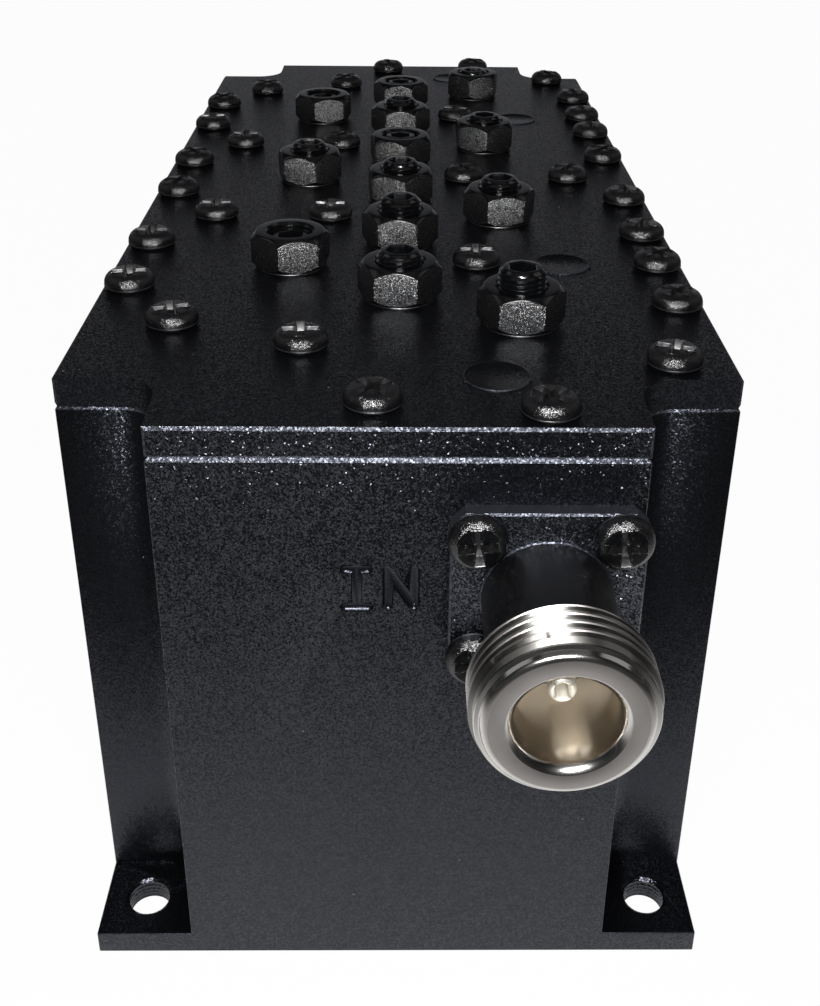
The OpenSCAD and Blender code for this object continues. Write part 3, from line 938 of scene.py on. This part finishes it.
def make_ring(name, spot):
    """Threaded ring with its bevelled nose and the bore behind it."""
    mats = [turned_nickel, shaded_face_nickel, bore_nickel, nickel, thread_nickel, shaded_thread_root]
    crest = RING_R - 0.16
    root = crest - 0.46
    form = [(0.0, crest - 0.05), (0.04, crest), (0.3, crest), (0.4, crest - 0.1), (0.56, root),
            (0.8, root)]

    def limit(z, r):
        if z > THREAD_END - 0.2:
            return NOSE_R
        return min(r, crest - 0.55 + (z - RING_START))

    ring = bmesh.new()
    helix(ring, RING_PITCH, RING_START, THREAD_END, form, 96, limit, mats.index(thread_nickel))
    # Painted shade: the thread roots take the much darker nickel and the crest chamfers the darker
    # face nickel
    for face in ring.faces:
        reach = face.calc_center_median().xy.length
        if reach < crest - 0.12:
            face.material_index = mats.index(shaded_thread_root)
        elif reach < crest - 0.01:
            face.material_index = mats.index(shaded_face_nickel)
    bore_start, bore_end, bore_out_r = 17.7, SOCKET_BACK + GAP, TUBE_R - GAP
    sections = [
        (turned_nickel, [(NOSE_R, THREAD_END), (NOSE_R, 17.52)]),
        (nickel, [(NOSE_R, 17.52), (7.34, 17.62), (7.02, 17.74), (6.96, 17.82), (6.92, 17.98),
                  (6.82, 18.16), (6.66, 18.3), (6.48, 18.38), (NOSE_END_R, RING_FACE)]),
        (shaded_face_nickel, [(NOSE_END_R, RING_FACE), (MOUTH_R, RING_FACE)]),
        (nickel, [(MOUTH_R, RING_FACE), (4.9, 18.37), (4.4, 17.85), (BORE_R, bore_start)]),
        (bore_nickel, [(BORE_R, bore_start), (BORE_R, bore_end), (bore_out_r, bore_end),
                       (bore_out_r, RING_START - GAP)]),
        (turned_nickel, [(bore_out_r, RING_START - GAP), (TUBE_R, RING_START),
                         (RING_R - 0.75, RING_START)]),
    ]
    angles = round_angles(96)
    for mat, profile in sections:
        lathe(ring, profile, angles, mats.index(mat))
    clean(ring)
    bmesh.ops.transform(ring, matrix=spot, verts=ring.verts)
    link(name + "_threaded_ring", ring, mats, replaces=(name + "_connector_body",),
         smooth=26)


def make_contact(name, spot):
    """Centre contact with a rounded tip, split by four thin slots, and the rod behind it."""
    low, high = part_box(name + "_contact")
    length = (high.y - low.y) / MM
    tip, bore_r, slot_w = CONTACT_TIP, 0.7, 0.2
    profile = [(0.0, tip - length), (CONTACT_ROD_R, tip - length), (CONTACT_ROD_R, SOCKET_FLOOR),
               (CONTACT_R, SOCKET_FLOOR), (CONTACT_R, tip - 0.3), (1.14, tip - 0.12),
               (1.02, tip - 0.02), (0.9, tip), (0.78, tip - 0.06), (bore_r, tip - 0.2),
               (bore_r, tip - 4.8), (0.0, tip - 5)]
    contact = loose_object(name + "_contact_turned", turned_solid(profile, 40))
    for turn in (45, 135):
        blade = bmesh.new()
        bmesh.ops.create_cube(blade, size=1.0)
        move = Matrix.Translation((0, 0, tip - 1.5)) @ Matrix.Rotation(math.radians(turn), 4, "Z")
        bmesh.ops.transform(blade, matrix=move @ Matrix.Diagonal((4, slot_w, 5, 1)),
                            verts=blade.verts)
        solid_difference(contact, loose_object("slot", blade))
    bm = taken_back(contact)
    bmesh.ops.transform(bm, matrix=spot, verts=bm.verts)
    link(name + "_contact_slotted", bm, [contact_metal], replaces=(name + "_contact",))


def make_flange_screws(name, spot, screw_places, seed):
    rng = random.Random(seed)
    mats = [head_steel, bead_black, head_flat]
    heads = bmesh.new()
    for x, y in screw_places:
        screw = pan_screw(FLANGE_SCREW_L, rng.uniform(-0.1, 0.25))
        place(heads, screw, spot @ Matrix.Translation((x, y, FLANGE_T)))
        screw.free()
    heads.normal_update()
    for face in heads.faces:
        if abs(face.normal.y) > 0.98 and face.material_index == 0:
            face.material_index = mats.index(head_flat)
    link(name + "_flange_pan_screws", heads, mats, replaces=(name + "_flange_screws",),
         smooth=28)


def make_connector(name, side, seed):
    spot = at_end(side)
    reach = FLANGE_SPAN / 2
    screw_places = [(x * reach, y * reach) for x in (-1, 1) for y in (-1, 1)]
    make_flange(name, spot, screw_places)
    make_ring(name, spot)
    make_contact(name, spot)
    make_flange_screws(name, spot, screw_places, seed)


make_connector("input", -1, 11)
make_connector("output", 1, 12)


# CAD solids that stay as they are and get their own finish

def finish_node(name, mat):
    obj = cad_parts[name]
    obj.data.materials.clear()
    obj.data.materials.append(mat)


for i in range(POLES):
    finish_node("resonator_%d" % (i + 1), silver)
finish_node("resonator_screws", steel)
for end in ("input", "output"):
    finish_node(end + "_insulator", white_insulator)
    finish_node(end + "_coupling_disc", contact_metal)


# Studio

WHITE = (1.0, 1.0, 1.0)


def make_floor():
    """White floor. In reflections it glows with a painted pool of light round the object, falling
    off as the light on a small sheet would, and the camera sees white with a little of the shadow."""
    half_size, pool_reach, glow_share = 3.0 / MM, 0.25, 0.975
    bm = bmesh.new()
    bmesh.ops.create_grid(bm, x_segments=1, y_segments=1, size=half_size)
    floor = loose_object("studio_floor", bm)
    mat, tree, shader = new_material("floor_white")
    at = coords(tree)
    tone = ramp(tree, noise_tex(tree, at, 8), (0.3, 0.86), (0.7, 0.88))
    tree.links.new(tone, shader.inputs["Base Color"])
    shader.inputs["Roughness"].default_value = 0.6
    beyond = vector_op(tree, "SUBTRACT", vector_op(tree, "ABSOLUTE", at),
                       (BODY_W / 2 * MM, BODY_L / 2 * MM, 0.0))
    outside = vector_op(tree, "MAXIMUM", beyond, (0.0, 0.0, 0.0))
    reach = maths(tree, "MULTIPLY", vector_op(tree, "LENGTH", outside), 1 / pool_reach)
    # Painted pool of light: a glow for reflections, bright next to the box and fading away from it
    pool = ramp(tree, reach, (0.0, 1.0), (0.13, 0.86), (0.23, 0.5), (0.34, 0.28), (0.5, 0.1),
                (1.0, 0.03))
    rays = node(tree, "ShaderNodeLightPath").outputs
    glow = node(tree, "ShaderNodeEmission")
    tree.links.new(maths(tree, "MAXIMUM", rays["Is Camera Ray"], pool), glow.inputs["Strength"])
    mirrored = maths(tree, "MAXIMUM", rays["Is Glossy Ray"], rays["Is Transmission Ray"])
    seen = maths(tree, "MAXIMUM", rays["Is Camera Ray"], mirrored)
    mix = node(tree, "ShaderNodeMixShader")
    tree.links.new(maths(tree, "MULTIPLY", seen, glow_share), mix.inputs["Fac"])
    tree.links.new(shader.outputs["BSDF"], mix.inputs[1])
    tree.links.new(glow.outputs["Emission"], mix.inputs[2])
    tree.links.new(mix.outputs["Shader"], tree.nodes["Material Output"].inputs["Surface"])
    floor.data.materials.append(mat)


def make_world():
    """Pale horizon below a dark ceiling. The bright wall stands behind the object, the other
    sides of the room are dark, and the camera sees plain white."""
    world = bpy.data.worlds.new("studio")
    bpy.context.scene.world = world
    world.use_nodes = True
    tree = world.node_tree
    back = tree.nodes["Background"]
    split = split_vector(tree, node(tree, "ShaderNodeTexCoord").outputs["Generated"])
    sky = [(0.0, WHITE), (0.01, (0.3, 0.303, 0.32)), (0.1, (0.28, 0.283, 0.3)),
           (0.2, (0.21, 0.213, 0.23)), (0.26, (0.165, 0.168, 0.185)),
           (0.34, (0.1, 0.102, 0.113)), (0.5, (0.065, 0.066, 0.074)),
           (0.65, (0.03, 0.031, 0.035)), (1.0, (0.02, 0.0205, 0.023))]
    high = ramp(tree, split.outputs["Z"], *sky)
    camera = node(tree, "ShaderNodeLightPath").outputs["Is Camera Ray"]
    tree.links.new(blend_colour(tree, camera, high, WHITE), back.inputs["Color"])
    wall = ramp(tree, split.outputs["Y"], (0.0, 0.1), (0.5, 0.14), (0.8, 0.55), (0.92, 1.0))
    tree.links.new(maths(tree, "MAXIMUM", wall, camera), back.inputs["Strength"])


def area_light(name, location, target, size, power):
    data = bpy.data.lights.new(name, "AREA")
    data.shape = "RECTANGLE"
    data.size, data.size_y = size
    data.energy = power
    obj = add_object(name, data)
    obj.location = location
    aim = Vector(target) - Vector(location)
    obj.rotation_euler = aim.to_track_quat("-Z", "Y").to_euler()


def make_camera():
    """Camera at the photograph's place, in front of the input end and above it."""
    pitch, yaw, roll = 0.46206, 0.01536, 0.01088
    location = Vector((0.09453, -164.36505, 113.52905)) * MM
    forward = Vector((math.sin(yaw) * math.cos(pitch), math.cos(yaw) * math.cos(pitch),
                      -math.sin(pitch)))
    right = Vector((math.cos(yaw), -math.sin(yaw), 0.0))
    up = right.cross(forward)
    right_rolled = right * math.cos(roll) + up * math.sin(roll)
    up_rolled = up * math.cos(roll) - right * math.sin(roll)
    data = bpy.data.cameras.new("photo_camera")
    data.sensor_fit = "AUTO"
    data.sensor_width = 36.0
    data.lens = 44.66
    data.shift_x, data.shift_y = -0.00725, -0.1135
    data.clip_start, data.clip_end = 0.005, 20.0
    cam = add_object("photo_camera", data)
    basis = Matrix((right_rolled, up_rolled, -forward)).transposed().to_4x4()
    cam.matrix_world = Matrix.Translation(location) @ basis
    bpy.context.scene.camera = cam


make_floor()
make_world()
# A small light above the camera, and wide ones overhead and on both sides
area_light("lens_soft", (-0.002, -0.168, 0.13), (0, -0.06, 0.04), (0.055, 0.028), 0.29)
area_light("top_soft", (0.0, 0.0, 0.85), (0, 0, 0.03), (0.8, 0.8), 0.2)
area_light("left_soft", (-0.7, 0.0, 0.55), (0, 0, 0.04), (0.5, 0.5), 0.25)
area_light("right_soft", (0.7, 0.0, 0.55), (0, 0, 0.04), (0.5, 0.5), 0.25)
make_camera()
bpy.context.scene.view_settings.view_transform = "Standard"
